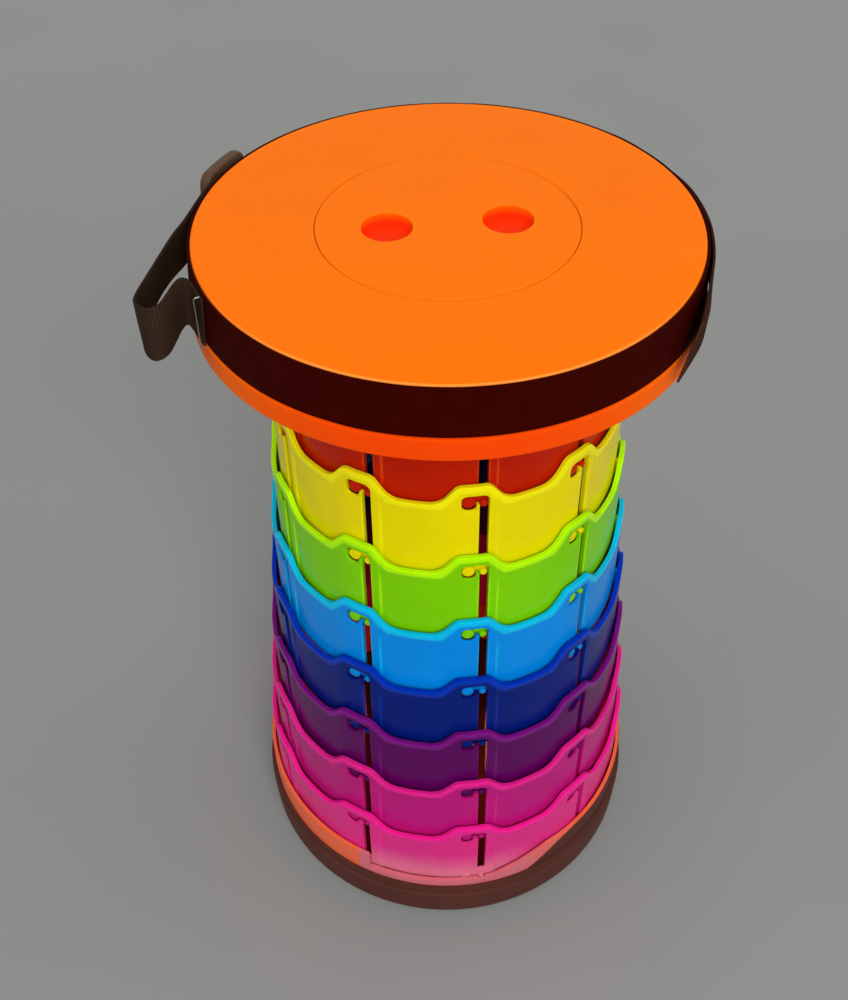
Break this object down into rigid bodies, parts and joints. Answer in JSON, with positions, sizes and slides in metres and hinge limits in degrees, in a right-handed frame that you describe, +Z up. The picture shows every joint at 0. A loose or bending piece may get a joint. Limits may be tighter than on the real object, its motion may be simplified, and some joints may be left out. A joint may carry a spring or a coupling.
{
  "type": "collapsible telescopic stool",
  "caption": "Round collapsible stool: nested plastic rings with hooked peg slots telescope between a wide base and a flat round seat with lift-out lid, webbing strap and carry loop.",
  "frame": {"origin": "middle of the underside, on the floor plane under the middle pad", "axes": "+Z up along the stool's axis towards the seat, -Y the front, +X to the right seen from the front"},
  "size_m": [0.2725, 0.2558, 0.4565],
  "materials": {
    "pink_plastic": "injection-moulded polypropylene, smooth and glossy",
    "magenta_plastic": "injection-moulded polypropylene, smooth and glossy",
    "purple_plastic": "injection-moulded polypropylene, smooth and glossy",
    "navy_plastic": "injection-moulded polypropylene, smooth and glossy",
    "light_blue_plastic": "injection-moulded polypropylene, smooth and glossy",
    "green_plastic": "injection-moulded polypropylene, smooth and glossy",
    "yellow_plastic": "injection-moulded polypropylene, smooth and glossy",
    "orange_plastic": "injection-moulded polypropylene, smooth and glossy",
    "foot_plastic": "dark brown moulded polypropylene, satin",
    "coral_plastic": "coral injection-moulded polypropylene",
    "pad_rubber": "black rubber",
    "screw_steel": "zinc-plated steel",
    "seat_plastic": "orange injection-moulded polypropylene, fine satin on the seat",
    "strap_webbing": "dark brown-black woven polypropylene webbing",
    "buckle_plastic": "dark grey-brown moulded acetal",
    "keeper_steel": "bright steel wire"
  },
  "bodies": {
    "base": {"base_foot": "foot_plastic", "base_ring": "coral_plastic", "foot_pads": "pad_rubber", "base_screws": "screw_steel"},
    "pink_stage": {"ring_pink": "pink_plastic"},
    "magenta_stage": {"ring_magenta": "magenta_plastic"},
    "purple_stage": {"ring_purple": "purple_plastic"},
    "navy_stage": {"ring_navy": "navy_plastic"},
    "light_blue_stage": {"ring_light_blue": "light_blue_plastic"},
    "green_stage": {"ring_green": "green_plastic"},
    "yellow_stage": {"ring_yellow": "yellow_plastic"},
    "orange_stage": {"ring_orange": "orange_plastic"},
    "seat": {"seat_top": "seat_plastic", "seat_tube": "seat_plastic", "seat_screws": "screw_steel", "strap_band": "strap_webbing", "strap_loop": "strap_webbing", "strap_tail": "strap_webbing", "strap_buckle": "buckle_plastic", "strap_keeper": "keeper_steel"},
    "lid": {"seat_lid": "seat_plastic"}
  },
  "joints": [
    {"name": "pink_slide", "type": "slide", "parent": "base", "child": "pink_stage", "axis": [0, 0, 1], "range_m": [-0.0284, 0]},
    {"name": "magenta_slide", "type": "slide", "parent": "pink_stage", "child": "magenta_stage", "axis": [0, 0, 1], "range_m": [-0.0445, 0]},
    {"name": "purple_slide", "type": "slide", "parent": "magenta_stage", "child": "purple_stage", "axis": [0, 0, 1], "range_m": [-0.0445, 0]},
    {"name": "navy_slide", "type": "slide", "parent": "purple_stage", "child": "navy_stage", "axis": [0, 0, 1], "range_m": [-0.0445, 0]},
    {"name": "light_blue_slide", "type": "slide", "parent": "navy_stage", "child": "light_blue_stage", "axis": [0, 0, 1], "range_m": [-0.0445, 0]},
    {"name": "green_slide", "type": "slide", "parent": "light_blue_stage", "child": "green_stage", "axis": [0, 0, 1], "range_m": [-0.0445, 0]},
    {"name": "yellow_slide", "type": "slide", "parent": "green_stage", "child": "yellow_stage", "axis": [0, 0, 1], "range_m": [-0.0445, 0]},
    {"name": "orange_slide", "type": "slide", "parent": "yellow_stage", "child": "orange_stage", "axis": [0, 0, 1], "range_m": [-0.0445, 0]},
    {"name": "seat_slide", "type": "slide", "parent": "orange_stage", "child": "seat", "axis": [0, 0, 1], "range_m": [-0.038, 0]},
    {"name": "lid_lift", "type": "slide", "parent": "seat", "child": "lid", "axis": [0, 0, 1], "range_m": [0, 0.06]}
  ]
}
